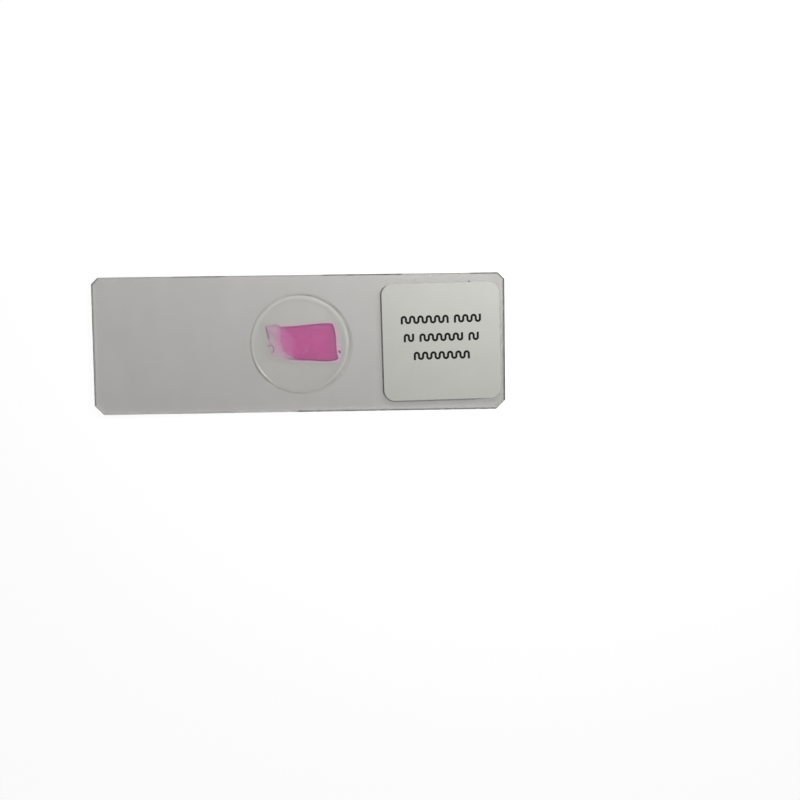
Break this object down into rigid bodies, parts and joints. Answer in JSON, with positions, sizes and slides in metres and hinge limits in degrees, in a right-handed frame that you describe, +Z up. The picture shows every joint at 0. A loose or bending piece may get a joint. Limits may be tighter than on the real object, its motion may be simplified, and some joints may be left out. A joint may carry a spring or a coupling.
{
  "type": "microscope slide",
  "caption": "Prepared microscope slide: a glass slip with a stained tissue section under a round cover glass and a square paper label at one end.",
  "frame": {"origin": "middle of the slide's underside", "axes": "+X along the slide to its labelled end, +Y across the slide, +Z up out of the face that carries the cover glass and label"},
  "size_m": [0.075, 0.025, 0.0013],
  "materials": {
    "slide_glass": "clear polished faces, ground edges",
    "cover_glass": "clear and polished",
    "mounting_resin": "clear set resin, very faintly yellow",
    "stained_tissue": "magenta stained tissue, mottled, with a pale torn margin",
    "label_paper": "uncoated off-white paper",
    "label_ink": "printed black"
  },
  "bodies": {
    "root": {"slide_glass": "slide_glass", "cover_glass": "cover_glass", "mounting_medium": "mounting_resin", "tissue_section": "stained_tissue", "tissue_fleck": "stained_tissue", "label": "label_paper", "print_mark_1": "label_ink", "print_mark_2": "label_ink", "print_mark_3": "label_ink", "print_mark_4": "label_ink", "print_mark_5": "label_ink", "print_mark_6": "label_ink"}
  },
  "joints": []
}
